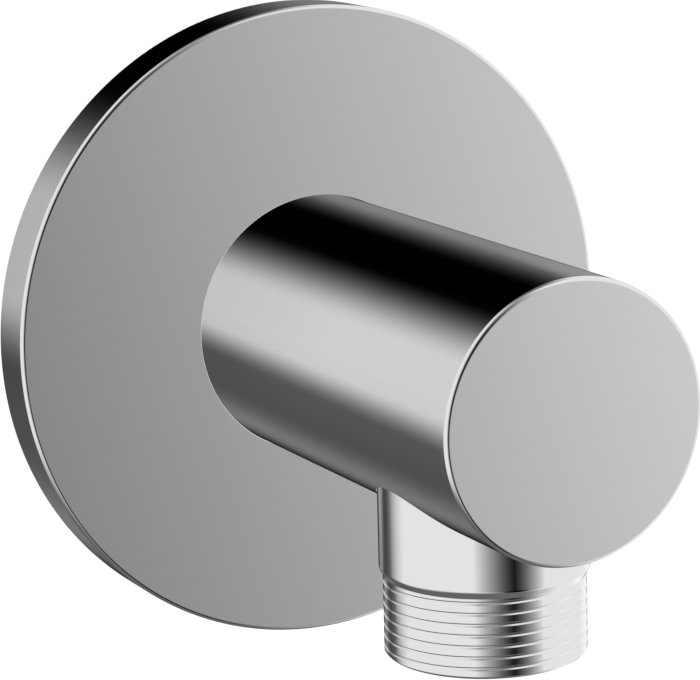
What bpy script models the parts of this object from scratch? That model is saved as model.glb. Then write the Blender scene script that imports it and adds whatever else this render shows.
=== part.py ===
# Wall outlet elbow for a hand-shower hose. Metres, +Z up.
# The wall is the plane y = 0 and the object stands out of it towards -Y. The origin is on the wall,
# on the axis of the round body. The outlet points straight down.

import math

import bmesh
import bpy

# Body: a round bar that stands straight out of the wall
BODY_RADIUS = 0.0142
BODY_NOSE = 0.01835  # front face from the outlet's axis
BODY_EDGE = 0.00045  # rounding of the front edge
BODY_WALL_GAP = 0.0005  # its rear end stops short of the wall
PASSAGE_RADIUS = 0.0055  # water way inside

# Escutcheon: a flat disc that is hollow at the back, with a collar round the body
ESCUTCHEON_RADIUS = 0.035
ESCUTCHEON_DEPTH = 0.0063
ESCUTCHEON_EDGE = 0.00045
ESCUTCHEON_PLATE = 0.0024
ESCUTCHEON_RIM = 0.0022
HOLE_CLEARANCE = 0.00015  # between the body and the escutcheon's hole
COLLAR_WALL = 0.0022
COLLAR_WALL_GAP = 0.0009  # the collar stops short of the wall
GRIP_GROOVE_DEPTH = 0.0009
GRIP_GROOVE_WIDTH = 0.0016

# Inlet nipple: wall thread, flange on the wall, spigot for the body
INLET_THREAD_RADIUS = 0.0104775  # G 1/2
INLET_THREAD_LENGTH = 0.015
INLET_THREAD_RELIEF = 0.0012  # depth and length of the undercut behind the flange
INLET_BORE_RADIUS = 0.0049
FLANGE_THICKNESS = 0.003
FLANGE_COVER = 0.0015  # wall of the body round the flange
SPIGOT_RADIUS = 0.0084
SPIGOT_CLEARANCE = 0.0001
SPIGOT_GROOVE_DEPTH = 0.0013
SPIGOT_GROOVE_WIDTH = 0.002
SPIGOT_LAND = 0.00085  # between the grub screw's hole and the rear O-ring
SPIGOT_RING_LAND = 0.003  # between the two O-rings
SPIGOT_NOSE = 0.0037  # in front of the O-rings
SPIGOT_CHAMFER = 0.001
SOCKET_ACROSS_FLATS = 0.010
SOCKET_DEPTH = 0.008

# Grub screw under the body, next to the escutcheon
GRUB_RADIUS = 0.0025
GRUB_CLEARANCE = 0.00015
GRUB_FROM_ESCUTCHEON = 0.0035  # screw axis in front of the escutcheon's face
GRUB_RECESS = 0.0008  # its head below the body's underside
GRUB_TIP_RADIUS = 0.0007
GRUB_TIP_LENGTH = 0.0013
GRUB_KEY_ACROSS_FLATS = 0.0025
GRUB_KEY_DEPTH = 0.0022
LOCK_GROOVE_DEPTH = 0.001

# Outlet nipple under the body
OUTLET_OFFSET = 0.04285  # its axis from the wall
NECK_RADIUS = 0.01075
NECK_LENGTH = 0.0048  # from the body's underside to the thread
NECK_CLEARANCE = 0.0001
NECK_SINK = 0.00026  # its shoulder sits this far above the side of the saddle
NECK_CHAMFER = 0.00065
OUTLET_THREAD_RADIUS = 0.01035
OUTLET_THREAD_LENGTH = 0.00835
OUTLET_THREAD_CHAMFER = 0.0003
OUTLET_SPIGOT_LENGTH = 0.0037
OUTLET_SPIGOT_WALL = 0.0011  # under its O-ring
OUTLET_GROOVE_DEPTH = 0.0011
OUTLET_GROOVE_WIDTH = 0.0017
LIP_RADIUS = 0.0056
LIP_HEIGHT = 0.00205

# Non-return valve in the outlet nipple
VALVE_RADIUS = 0.0066
VALVE_LENGTH = 0.0165
VALVE_CLEARANCE = 0.0002
VALVE_WALL = 0.001
VALVE_LIP = 0.0007
VALVE_LIP_HEIGHT = 0.001
VALVE_GROOVE_DEPTH = 0.0012
VALVE_GROOVE_WIDTH = 0.0018
VALVE_RING_FROM_TOP = 0.002
SEAT_RADIUS = 0.0038
SEAT_FROM_TOP = 0.0041
SEAT_CONE_HEIGHT = 0.0012
SEAT_GAP = 0.00035
POPPET_FLOW_GAP = 0.0007  # round the poppet's head
POPPET_HEAD = 0.0012
POPPET_CAP_CLEARANCE = 0.0008  # inside the seat
POPPET_CAP_HEIGHT = 0.0008
POPPET_NOSE_RADIUS = 0.0022
POPPET_SEAL_RIM = 0.0003  # the head stands this far past the seal
POPPET_SEAL_THICKNESS = 0.0012
STEM_RADIUS = 0.0011
STEM_RECESS = 0.0003  # its end inside the hub
CAGE_HEIGHT = 0.0019
CAGE_RING_HEIGHT = 0.0013
CAGE_RING_WALL = 0.0008
CAGE_HUB_WALL = 0.0011
CAGE_SPOKES = 3
CAGE_SPOKE_WIDTH = 0.0012
SPRING_WIRE_RADIUS = 0.000225
SPRING_INSET = 0.000075  # inside the hub's outer edge
SPRING_TURNS = 3.5
SPRING_POINTS = 12  # for each turn

# Clearances between pieces
REST_GAP = 0.0003  # between faces that rest on each other
SEAL_GAP = 0.00005  # round an O-ring in its groove
SEAL_SIDE_GAP = 0.0001

# Facets round a full turn
LARGE_STEPS = 72
MEDIUM_STEPS = 44
SMALL_STEPS = 32
ARC_STEPS = 2
RING_STEPS = 8
MERGE = 0.000001
PAST = 0.002  # how far a cutter runs past the face it opens

# Heights along the wall axis, counted out from the wall
BODY_REACH = OUTLET_OFFSET + BODY_NOSE
FLANGE_RADIUS = BODY_RADIUS - FLANGE_COVER - REST_GAP
ESCUTCHEON_BACK = ESCUTCHEON_DEPTH - ESCUTCHEON_PLATE
HOLE_RADIUS = BODY_RADIUS + HOLE_CLEARANCE
GRIP_CENTRE = (COLLAR_WALL_GAP + ESCUTCHEON_BACK) / 2
SOCKET_RADIUS = SPIGOT_RADIUS + SPIGOT_CLEARANCE
GRUB_OFFSET = ESCUTCHEON_DEPTH + GRUB_FROM_ESCUTCHEON
GRUB_HOLE_RADIUS = GRUB_RADIUS + GRUB_CLEARANCE
SPIGOT_REAR_RING = GRUB_OFFSET + GRUB_HOLE_RADIUS + SPIGOT_LAND + SPIGOT_GROOVE_WIDTH / 2
SPIGOT_FRONT_RING = SPIGOT_REAR_RING + SPIGOT_GROOVE_WIDTH + SPIGOT_RING_LAND
SPIGOT_REACH = SPIGOT_FRONT_RING + SPIGOT_GROOVE_WIDTH / 2 + SPIGOT_NOSE
SPIGOT_GROOVE_RADIUS = SPIGOT_RADIUS - SPIGOT_GROOVE_DEPTH
LOCK_GROOVE_RADIUS = SPIGOT_RADIUS - LOCK_GROOVE_DEPTH

# Heights along the outlet axis, counted up from the body's axis
NECK_HOLE_RADIUS = NECK_RADIUS + NECK_CLEARANCE
OUTLET_THREAD_TOP = -BODY_RADIUS - NECK_LENGTH
OUTLET_END = OUTLET_THREAD_TOP - OUTLET_THREAD_LENGTH
NECK_TOP = NECK_SINK - math.sqrt(BODY_RADIUS**2 - NECK_HOLE_RADIUS**2)
OUTLET_SPIGOT_TOP = NECK_TOP + OUTLET_SPIGOT_LENGTH
OUTLET_RING_CENTRE = (NECK_TOP + OUTLET_SPIGOT_TOP) / 2
VALVE_BORE_RADIUS = VALVE_RADIUS + VALVE_CLEARANCE
OUTLET_GROOVE_RADIUS = VALVE_BORE_RADIUS + OUTLET_SPIGOT_WALL
OUTLET_SPIGOT_RADIUS = OUTLET_GROOVE_RADIUS + OUTLET_GROOVE_DEPTH
OUTLET_SPIGOT_HOLE = OUTLET_SPIGOT_RADIUS + SPIGOT_CLEARANCE
LIP_TOP = OUTLET_END + LIP_HEIGHT
VALVE_BOTTOM = LIP_TOP + REST_GAP
VALVE_TOP = VALVE_BOTTOM + VALVE_LENGTH
VALVE_RING_CENTRE = VALVE_TOP - VALVE_RING_FROM_TOP
VALVE_GROOVE_RADIUS = VALVE_RADIUS - VALVE_GROOVE_DEPTH
CHAMBER_RADIUS = VALVE_RADIUS - VALVE_WALL
SEAT_TOP = VALVE_TOP - SEAT_FROM_TOP
SEAT_BOTTOM = SEAT_TOP - SEAT_CONE_HEIGHT
HEAD_RADIUS = CHAMBER_RADIUS - POPPET_FLOW_GAP
SEAL_RADIUS = HEAD_RADIUS - POPPET_SEAL_RIM
SEAT_SLOPE = SEAT_CONE_HEIGHT / (CHAMBER_RADIUS - SEAT_RADIUS)
SEAL_TOP = SEAT_TOP - (SEAL_RADIUS - SEAT_RADIUS) * SEAT_SLOPE - SEAT_GAP
SEAL_BOTTOM = SEAL_TOP - POPPET_SEAL_THICKNESS
HEAD_TOP = SEAL_BOTTOM - SEAL_SIDE_GAP
HEAD_BOTTOM = HEAD_TOP - POPPET_HEAD
VALVE_LIP_TOP = VALVE_BOTTOM + VALVE_LIP_HEIGHT
CAGE_BOTTOM = VALVE_LIP_TOP + REST_GAP
HUB_TOP = CAGE_BOTTOM + CAGE_HEIGHT
CAGE_RADIUS = CHAMBER_RADIUS - VALVE_CLEARANCE
STEM_HOLE_RADIUS = STEM_RADIUS + VALVE_CLEARANCE
HUB_RADIUS = STEM_HOLE_RADIUS + CAGE_HUB_WALL
SPRING_RADIUS = HUB_RADIUS - SPRING_WIRE_RADIUS - SPRING_INSET

# Local +Z of a piece on the wall axis points out of the wall
WALL_AXIS = ((0.0, 0.0, 0.0), (math.pi / 2, 0.0, 0.0))
OUTLET_AXIS = ((0.0, -OUTLET_OFFSET, 0.0), (0.0, 0.0, 0.0))
GRUB_AXIS = ((0.0, -GRUB_OFFSET, 0.0), (0.0, 0.0, 0.0))

CHROME = ("chrome", (0.79, 0.79, 0.79), 0.05, 1.0)
BRASS = ("brass", (0.72, 0.52, 0.26), 0.25, 1.0)
STEEL = ("steel", (0.55, 0.55, 0.56), 0.25, 1.0)
RUBBER = ("rubber", (0.025, 0.025, 0.025), 0.6, 0.0)
FOAM = ("foam", (0.22, 0.22, 0.22), 0.9, 0.0)
HOUSING_PLASTIC = ("housing_plastic", (0.82, 0.82, 0.8), 0.4, 0.0)
VALVE_PLASTIC = ("valve_plastic", (0.08, 0.2, 0.55), 0.4, 0.0)


def clear_scene():
    for old in list(bpy.data.objects):
        bpy.data.objects.remove(old, do_unlink=True)


def new_collection(name):
    collection = bpy.data.collections.new(name)
    bpy.context.scene.collection.children.link(collection)
    return collection


def place(obj, axis, collection):
    obj.location, obj.rotation_euler = axis
    for old in list(obj.users_collection):
        old.objects.unlink(obj)
    collection.objects.link(obj)
    return obj


def give_finish(obj, finish):
    name, colour, roughness, metallic = finish
    material = bpy.data.materials.new(obj.name + "_" + name)
    material.use_nodes = True
    shader = material.node_tree.nodes["Principled BSDF"]
    shader.inputs["Base Color"].default_value = (*colour, 1.0)
    shader.inputs["Roughness"].default_value = roughness
    shader.inputs["Metallic"].default_value = metallic
    obj.data.materials.clear()
    obj.data.materials.append(material)


def arc(radius, height, bend, start, end):
    """Points of a round corner about (radius, height), from one angle in degrees to another."""
    points = []
    for step in range(ARC_STEPS + 1):
        angle = math.radians(start + (end - start) * step / ARC_STEPS)
        points.append((radius + bend * math.cos(angle), height + bend * math.sin(angle)))
    return points


def ring_groove(mouth, floor, centre, width):
    """Four points of a square groove, from its upper side to its lower one."""
    top, bottom = centre + width / 2, centre - width / 2
    return [(mouth, top), (floor, top), (floor, bottom), (mouth, bottom)]


def turned(name, profile, axis, collection, steps, closed=True):
    """A turned piece: the profile runs down the outer side and back up the inner one."""
    mesh = bpy.data.meshes.new(name)
    edges = [(i, i + 1) for i in range(len(profile) - 1)]
    if closed:
        edges.append((len(profile) - 1, 0))
    mesh.from_pydata([(radius, 0.0, height) for radius, height in profile], edges, [])
    obj = bpy.data.objects.new(name, mesh)
    bpy.context.scene.collection.objects.link(obj)
    screw = obj.modifiers.new("turn", "SCREW")
    screw.angle = 2 * math.pi
    screw.steps = steps
    screw.render_steps = steps
    screw.use_merge_vertices = True
    screw.merge_threshold = MERGE
    weld = obj.modifiers.new("poles", "WELD")
    weld.merge_threshold = MERGE
    return place(obj, axis, collection)


def o_ring(name, inner, outer, height, axis, collection, steps=SMALL_STEPS):
    """A ring of round section that fills the space between two radii."""
    bpy.ops.mesh.primitive_torus_add(
        major_segments=steps,
        minor_segments=RING_STEPS,
        major_radius=(inner + outer) / 2,
        minor_radius=(outer - inner) / 2 - SEAL_GAP,
    )
    obj = bpy.context.active_object
    obj.name = name
    for vertex in obj.data.vertices:
        vertex.co.z += height
    return place(obj, axis, collection)


def prism(name, across_flats, bottom, top, axis, collection):
    """A hexagonal prism, for the socket of a key."""
    mesh = bpy.data.meshes.new(name)
    bm = bmesh.new()
    corner = across_flats / math.sqrt(3)
    bmesh.ops.create_cone(bm, cap_ends=True, segments=6, radius1=corner, radius2=corner, depth=top - bottom)
    bmesh.ops.translate(bm, verts=bm.verts, vec=(0.0, 0.0, (top + bottom) / 2))
    bm.to_mesh(mesh)
    bm.free()
    obj = bpy.data.objects.new(name, mesh)
    bpy.context.scene.collection.objects.link(obj)
    return place(obj, axis, collection)


def boolean(target, tool, operation):
    tool.hide_render = True
    tool.display_type = "WIRE"
    modifier = target.modifiers.new(tool.name, "BOOLEAN")
    modifier.operation = operation
    modifier.object = tool


def smooth(obj):
    """Bakes a mesh piece's modifiers and shades its round faces smooth."""
    bpy.context.view_layer.update()
    depsgraph = bpy.context.evaluated_depsgraph_get()
    baked = bpy.data.meshes.new_from_object(obj.evaluated_get(depsgraph))
    obj.modifiers.clear()
    obj.data = baked
    baked.shade_smooth()
    baked.set_sharp_from_angle(angle=math.radians(35))


def make_escutcheon(parts):
    front = ESCUTCHEON_DEPTH
    collar = HOLE_RADIUS + COLLAR_WALL
    edge = arc(ESCUTCHEON_RADIUS - ESCUTCHEON_EDGE, front - ESCUTCHEON_EDGE, ESCUTCHEON_EDGE, 90, 0)
    groove = ring_groove(HOLE_RADIUS, HOLE_RADIUS + GRIP_GROOVE_DEPTH, GRIP_CENTRE, GRIP_GROOVE_WIDTH)
    profile = edge + [
        (ESCUTCHEON_RADIUS, 0.0),
        (ESCUTCHEON_RADIUS - ESCUTCHEON_RIM, 0.0),
        (ESCUTCHEON_RADIUS - ESCUTCHEON_RIM, ESCUTCHEON_BACK),
        (collar, ESCUTCHEON_BACK),
        (collar, COLLAR_WALL_GAP),
        (HOLE_RADIUS, COLLAR_WALL_GAP),
        *reversed(groove),
        (HOLE_RADIUS, front),
    ]
    disc = turned("escutcheon", profile, WALL_AXIS, parts, LARGE_STEPS)
    smooth(disc)
    give_finish(disc, CHROME)


def make_grip_ring(parts):
    outer = HOLE_RADIUS + GRIP_GROOVE_DEPTH
    ring = o_ring("escutcheon_grip_ring", BODY_RADIUS, outer, GRIP_CENTRE, WALL_AXIS, parts, MEDIUM_STEPS)
    smooth(ring)
    give_finish(ring, RUBBER)


def make_wall_gasket(parts):
    outer = ESCUTCHEON_RADIUS - ESCUTCHEON_RIM - REST_GAP
    inner = HOLE_RADIUS + COLLAR_WALL + REST_GAP
    top = ESCUTCHEON_BACK - REST_GAP
    outline = [(outer, top), (outer, 0.0), (inner, 0.0), (inner, top)]
    gasket = turned("wall_gasket", outline, WALL_AXIS, parts, MEDIUM_STEPS)
    smooth(gasket)
    give_finish(gasket, FOAM)


def make_elbow_body(parts, cutters):
    front = BODY_REACH
    flange_pocket = FLANGE_RADIUS + REST_GAP
    flange_floor = FLANGE_THICKNESS + REST_GAP
    socket_end = SPIGOT_REACH + REST_GAP
    passage_end = OUTLET_OFFSET + PASSAGE_RADIUS
    profile = [
        (0.0, front),
        *arc(BODY_RADIUS - BODY_EDGE, front - BODY_EDGE, BODY_EDGE, 90, 0),
        (BODY_RADIUS, BODY_WALL_GAP),
        (flange_pocket, BODY_WALL_GAP),
        (flange_pocket, flange_floor),
        (SOCKET_RADIUS, flange_floor),
        (SOCKET_RADIUS, socket_end),
        (PASSAGE_RADIUS, socket_end),
        (PASSAGE_RADIUS, passage_end),
        (0.0, passage_end),
    ]
    body = turned("elbow_body", profile, WALL_AXIS, parts, LARGE_STEPS, closed=False)

    # One stepped bore from below takes the outlet nipple and meets the water way
    spigot_ceiling = OUTLET_SPIGOT_TOP + REST_GAP
    neck_ceiling = NECK_TOP + REST_GAP
    below = -BODY_RADIUS - PAST
    outlet_bore = turned(
        "outlet_bore",
        [
            (0.0, 0.0),
            (PASSAGE_RADIUS, 0.0),
            (PASSAGE_RADIUS, spigot_ceiling),
            (OUTLET_SPIGOT_HOLE, spigot_ceiling),
            (OUTLET_SPIGOT_HOLE, neck_ceiling),
            (NECK_HOLE_RADIUS, neck_ceiling),
            (NECK_HOLE_RADIUS, below),
            (0.0, below),
        ],
        OUTLET_AXIS,
        cutters,
        LARGE_STEPS,
        closed=False,
    )
    boolean(body, outlet_bore, "DIFFERENCE")

    hole = GRUB_HOLE_RADIUS
    inside = PAST - SOCKET_RADIUS
    outline = [(0.0, inside), (hole, inside), (hole, below), (0.0, below)]
    grub_bore = turned("grub_bore", outline, GRUB_AXIS, cutters, SMALL_STEPS, closed=False)
    boolean(body, grub_bore, "DIFFERENCE")
    smooth(body)
    give_finish(body, CHROME)


def make_inlet_nipple(parts, cutters):
    relief = INLET_THREAD_RADIUS - INLET_THREAD_RELIEF
    end = -INLET_THREAD_LENGTH
    lock_top = GRUB_OFFSET + GRUB_TIP_RADIUS + REST_GAP
    lock_bottom = GRUB_OFFSET - GRUB_TIP_RADIUS - REST_GAP
    profile = [
        (SPIGOT_RADIUS - SPIGOT_CHAMFER, SPIGOT_REACH),
        (SPIGOT_RADIUS, SPIGOT_REACH - SPIGOT_CHAMFER),
        *ring_groove(SPIGOT_RADIUS, SPIGOT_GROOVE_RADIUS, SPIGOT_FRONT_RING, SPIGOT_GROOVE_WIDTH),
        *ring_groove(SPIGOT_RADIUS, SPIGOT_GROOVE_RADIUS, SPIGOT_REAR_RING, SPIGOT_GROOVE_WIDTH),
        (SPIGOT_RADIUS, lock_top + LOCK_GROOVE_DEPTH),
        (LOCK_GROOVE_RADIUS, lock_top),
        (LOCK_GROOVE_RADIUS, lock_bottom),
        (SPIGOT_RADIUS, lock_bottom - LOCK_GROOVE_DEPTH),
        (SPIGOT_RADIUS, FLANGE_THICKNESS),
        (FLANGE_RADIUS, FLANGE_THICKNESS),
        (FLANGE_RADIUS, 0.0),
        (relief, 0.0),
        (relief, -INLET_THREAD_RELIEF),
        (INLET_THREAD_RADIUS, -2 * INLET_THREAD_RELIEF),
        (INLET_THREAD_RADIUS, end + INLET_THREAD_RELIEF),
        (relief, end),
        (INLET_BORE_RADIUS, end),
        (INLET_BORE_RADIUS, SPIGOT_REACH),
    ]
    nipple = turned("inlet_nipple", profile, WALL_AXIS, parts, MEDIUM_STEPS)
    key = prism(
        "inlet_key", SOCKET_ACROSS_FLATS, SPIGOT_REACH - SOCKET_DEPTH, SPIGOT_REACH + PAST, WALL_AXIS, cutters
    )
    boolean(nipple, key, "DIFFERENCE")
    smooth(nipple)
    give_finish(nipple, BRASS)


def make_nipple_rings(parts):
    places = {"nipple_o_ring_rear": SPIGOT_REAR_RING, "nipple_o_ring_front": SPIGOT_FRONT_RING}
    for name, height in places.items():
        ring = o_ring(name, SPIGOT_GROOVE_RADIUS, SOCKET_RADIUS, height, WALL_AXIS, parts)
        smooth(ring)
        give_finish(ring, RUBBER)


def make_grub_screw(parts, cutters):
    head = -BODY_RADIUS + GRUB_RECESS
    tip = -LOCK_GROOVE_RADIUS - REST_GAP
    screw = turned(
        "grub_screw",
        [
            (0.0, tip),
            (GRUB_TIP_RADIUS, tip),
            (GRUB_RADIUS, tip - GRUB_TIP_LENGTH),
            (GRUB_RADIUS, head),
            (0.0, head),
        ],
        GRUB_AXIS,
        parts,
        SMALL_STEPS,
        closed=False,
    )
    key = prism("grub_key", GRUB_KEY_ACROSS_FLATS, head - PAST, head + GRUB_KEY_DEPTH, GRUB_AXIS, cutters)
    boolean(screw, key, "DIFFERENCE")
    smooth(screw)
    give_finish(screw, STEEL)


def make_outlet_nipple(parts):
    profile = [
        (OUTLET_SPIGOT_RADIUS, OUTLET_SPIGOT_TOP),
        *ring_groove(OUTLET_SPIGOT_RADIUS, OUTLET_GROOVE_RADIUS, OUTLET_RING_CENTRE, OUTLET_GROOVE_WIDTH),
        (OUTLET_SPIGOT_RADIUS, NECK_TOP),
        (NECK_RADIUS, NECK_TOP),
        (NECK_RADIUS, OUTLET_THREAD_TOP + NECK_CHAMFER),
        (OUTLET_THREAD_RADIUS, OUTLET_THREAD_TOP),
        (OUTLET_THREAD_RADIUS, OUTLET_END + OUTLET_THREAD_CHAMFER),
        (OUTLET_THREAD_RADIUS - OUTLET_THREAD_CHAMFER, OUTLET_END),
        (LIP_RADIUS, OUTLET_END),
        (LIP_RADIUS, LIP_TOP),
        (VALVE_BORE_RADIUS, LIP_TOP),
        (VALVE_BORE_RADIUS, OUTLET_SPIGOT_TOP),
    ]
    nipple = turned("outlet_nipple", profile, OUTLET_AXIS, parts, LARGE_STEPS)
    smooth(nipple)
    give_finish(nipple, CHROME)


def make_outlet_ring(parts):
    ring = o_ring(
        "outlet_o_ring", OUTLET_GROOVE_RADIUS, OUTLET_SPIGOT_HOLE, OUTLET_RING_CENTRE, OUTLET_AXIS, parts
    )
    smooth(ring)
    give_finish(ring, RUBBER)


def make_valve_housing(parts):
    profile = [
        (VALVE_RADIUS, VALVE_TOP),
        *ring_groove(VALVE_RADIUS, VALVE_GROOVE_RADIUS, VALVE_RING_CENTRE, VALVE_GROOVE_WIDTH),
        (VALVE_RADIUS, VALVE_BOTTOM),
        (CHAMBER_RADIUS - VALVE_LIP, VALVE_BOTTOM),
        (CHAMBER_RADIUS - VALVE_LIP, VALVE_LIP_TOP),
        (CHAMBER_RADIUS, VALVE_LIP_TOP),
        (CHAMBER_RADIUS, SEAT_BOTTOM),
        (SEAT_RADIUS, SEAT_TOP),
        (SEAT_RADIUS, VALVE_TOP),
    ]
    housing = turned("valve_housing", profile, OUTLET_AXIS, parts, MEDIUM_STEPS)
    smooth(housing)
    give_finish(housing, HOUSING_PLASTIC)
    ring = o_ring(
        "valve_housing_o_ring", VALVE_GROOVE_RADIUS, VALVE_BORE_RADIUS, VALVE_RING_CENTRE, OUTLET_AXIS, parts
    )
    smooth(ring)
    give_finish(ring, RUBBER)


def make_valve_poppet(parts):
    cap_bottom = SEAL_TOP + SEAL_SIDE_GAP
    cap_top = cap_bottom + POPPET_CAP_HEIGHT
    cap_radius = SEAT_RADIUS - POPPET_CAP_CLEARANCE
    stem_end = CAGE_BOTTOM + STEM_RECESS
    poppet = turned(
        "valve_poppet",
        [
            (0.0, cap_top),
            (cap_radius, cap_top),
            (cap_radius, cap_bottom),
            (POPPET_NOSE_RADIUS, cap_bottom),
            (POPPET_NOSE_RADIUS, HEAD_TOP),
            (HEAD_RADIUS, HEAD_TOP),
            (HEAD_RADIUS, HEAD_BOTTOM),
            (STEM_RADIUS, HEAD_BOTTOM),
            (STEM_RADIUS, stem_end),
            (0.0, stem_end),
        ],
        OUTLET_AXIS,
        parts,
        SMALL_STEPS,
        closed=False,
    )
    smooth(poppet)
    give_finish(poppet, VALVE_PLASTIC)

    inner = POPPET_NOSE_RADIUS + SEAL_SIDE_GAP
    seal = turned(
        "valve_poppet_seal",
        [(SEAL_RADIUS, SEAL_TOP), (SEAL_RADIUS, SEAL_BOTTOM), (inner, SEAL_BOTTOM), (inner, SEAL_TOP)],
        OUTLET_AXIS,
        parts,
        SMALL_STEPS,
    )
    smooth(seal)
    give_finish(seal, RUBBER)


def make_valve_cage(parts, cutters):
    ring_top = CAGE_BOTTOM + CAGE_RING_HEIGHT
    ring_inner = CAGE_RADIUS - CAGE_RING_WALL
    cage = turned(
        "valve_cage",
        [
            (CAGE_RADIUS, ring_top),
            (CAGE_RADIUS, CAGE_BOTTOM),
            (ring_inner, CAGE_BOTTOM),
            (ring_inner, ring_top),
        ],
        OUTLET_AXIS,
        parts,
        SMALL_STEPS,
    )
    hub = turned(
        "cage_hub",
        [
            (HUB_RADIUS, HUB_TOP),
            (HUB_RADIUS, CAGE_BOTTOM),
            (STEM_HOLE_RADIUS, CAGE_BOTTOM),
            (STEM_HOLE_RADIUS, HUB_TOP),
        ],
        OUTLET_AXIS,
        cutters,
        SMALL_STEPS,
    )
    boolean(cage, hub, "UNION")
    inner = HUB_RADIUS - CAGE_HUB_WALL / 2
    outer = ring_inner + CAGE_RING_WALL / 2
    spoke_bottom = CAGE_BOTTOM + CAGE_RING_HEIGHT / 4
    spoke_top = ring_top - CAGE_RING_HEIGHT / 4
    for number in range(CAGE_SPOKES):
        mesh = bpy.data.meshes.new("cage_spoke")
        bm = bmesh.new()
        bmesh.ops.create_cube(bm, size=1.0)
        size = (outer - inner, CAGE_SPOKE_WIDTH, spoke_top - spoke_bottom)
        centre = ((outer + inner) / 2, 0.0, (spoke_top + spoke_bottom) / 2)
        bmesh.ops.scale(bm, verts=bm.verts, vec=size)
        bmesh.ops.translate(bm, verts=bm.verts, vec=centre)
        bm.to_mesh(mesh)
        bm.free()
        spoke = bpy.data.objects.new("cage_spoke_%d" % number, mesh)
        bpy.context.scene.collection.objects.link(spoke)
        turn = 2 * math.pi * (number + 0.25) / CAGE_SPOKES
        place(spoke, (OUTLET_AXIS[0], (0.0, 0.0, turn)), cutters)
        boolean(cage, spoke, "UNION")
    smooth(cage)
    give_finish(cage, HOUSING_PLASTIC)


def make_valve_spring(parts):
    """Compression spring round the stem, from the cage's hub to the poppet's head."""
    bottom = HUB_TOP + REST_GAP + SPRING_WIRE_RADIUS
    top = HEAD_BOTTOM - REST_GAP - SPRING_WIRE_RADIUS
    count = round(SPRING_TURNS * SPRING_POINTS)
    curve = bpy.data.curves.new("valve_spring", "CURVE")
    curve.dimensions = "3D"
    curve.bevel_depth = SPRING_WIRE_RADIUS
    curve.bevel_resolution = 2
    curve.use_fill_caps = True
    spline = curve.splines.new("POLY")
    spline.points.add(count)
    for step in range(count + 1):
        angle = 2 * math.pi * step / SPRING_POINTS
        height = bottom + (top - bottom) * step / count
        point = (SPRING_RADIUS * math.cos(angle), SPRING_RADIUS * math.sin(angle), height, 1.0)
        spline.points[step].co = point
    spring = bpy.data.objects.new("valve_spring", curve)
    bpy.context.scene.collection.objects.link(spring)
    place(spring, OUTLET_AXIS, parts)
    give_finish(spring, STEEL)


def main():
    clear_scene()
    parts = new_collection("wall_outlet_elbow")
    cutters = new_collection("cutters")
    make_escutcheon(parts)
    make_grip_ring(parts)
    make_wall_gasket(parts)
    make_elbow_body(parts, cutters)
    make_inlet_nipple(parts, cutters)
    make_nipple_rings(parts)
    make_grub_screw(parts, cutters)
    make_outlet_nipple(parts)
    make_outlet_ring(parts)
    make_valve_housing(parts)
    make_valve_poppet(parts)
    make_valve_cage(parts, cutters)
    make_valve_spring(parts)


main()
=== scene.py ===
import math

import bmesh
import bpy
import numpy as np
from mathutils import Matrix, Vector


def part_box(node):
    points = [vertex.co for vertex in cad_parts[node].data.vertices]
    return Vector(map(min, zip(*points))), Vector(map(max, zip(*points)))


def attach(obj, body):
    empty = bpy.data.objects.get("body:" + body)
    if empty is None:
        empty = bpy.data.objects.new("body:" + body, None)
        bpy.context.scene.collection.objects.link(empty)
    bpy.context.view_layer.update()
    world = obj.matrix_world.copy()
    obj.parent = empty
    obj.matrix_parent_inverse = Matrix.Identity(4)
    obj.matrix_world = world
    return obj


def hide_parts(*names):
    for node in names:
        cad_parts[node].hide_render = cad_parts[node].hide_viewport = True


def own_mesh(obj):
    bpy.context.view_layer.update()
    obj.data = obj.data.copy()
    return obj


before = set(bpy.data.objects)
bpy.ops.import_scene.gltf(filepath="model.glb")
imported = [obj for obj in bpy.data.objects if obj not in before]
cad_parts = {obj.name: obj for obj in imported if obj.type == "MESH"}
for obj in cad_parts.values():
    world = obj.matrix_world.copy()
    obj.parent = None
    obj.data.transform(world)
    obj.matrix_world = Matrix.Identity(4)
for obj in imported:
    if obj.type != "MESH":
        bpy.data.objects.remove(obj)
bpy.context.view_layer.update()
print("frame loaded:", len(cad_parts), "nodes")

mm = 0.001
sharpAngle = math.radians(35)
bendStep = 7  # degrees of a round corner that one facet takes
overrun = 2.0  # how far a cutter stands out of what it cuts, in millimetres
weld = 0.001  # points of a thread and its lathe this near to each other become one
# Bends of the small corners, in millimetres
crisp, fine, small, middling, soft, full = 0.1, 0.15, 0.2, 0.25, 0.3, 0.4


# Lowest and highest corner of a CAD node in millimetres
def boxOf(node):
    low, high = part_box(node)
    return np.array(low) / mm, np.array(high) / mm


# The two axes that everything is turned about: heights count out from the wall along the first,
# and up from the body's middle along the second
bodyLow, bodyHigh = boxOf("elbow_body")
nippleLow, nippleHigh = boxOf("outlet_nipple")
outletOffset = -(nippleLow[1] + nippleHigh[1]) / 2
wallLine = {"foot": (0.0, 0.0, 0.0), "tilt": 90.0}
outletLine = {"foot": (0.0, -outletOffset, 0.0), "tilt": 0.0}
screwLow, screwHigh = boxOf("grub_screw")
screwLine = {"foot": (0.0, (screwLow[1] + screwHigh[1]) / 2, 0.0), "tilt": 0.0}


def lineFrame(line):
    tilt = math.radians(line["tilt"])
    up = np.array([0.0, -math.sin(tilt), math.cos(tilt)])
    across = np.array([1.0, 0.0, 0.0])
    return np.array(line["foot"]), up, across, np.cross(up, across)


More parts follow.
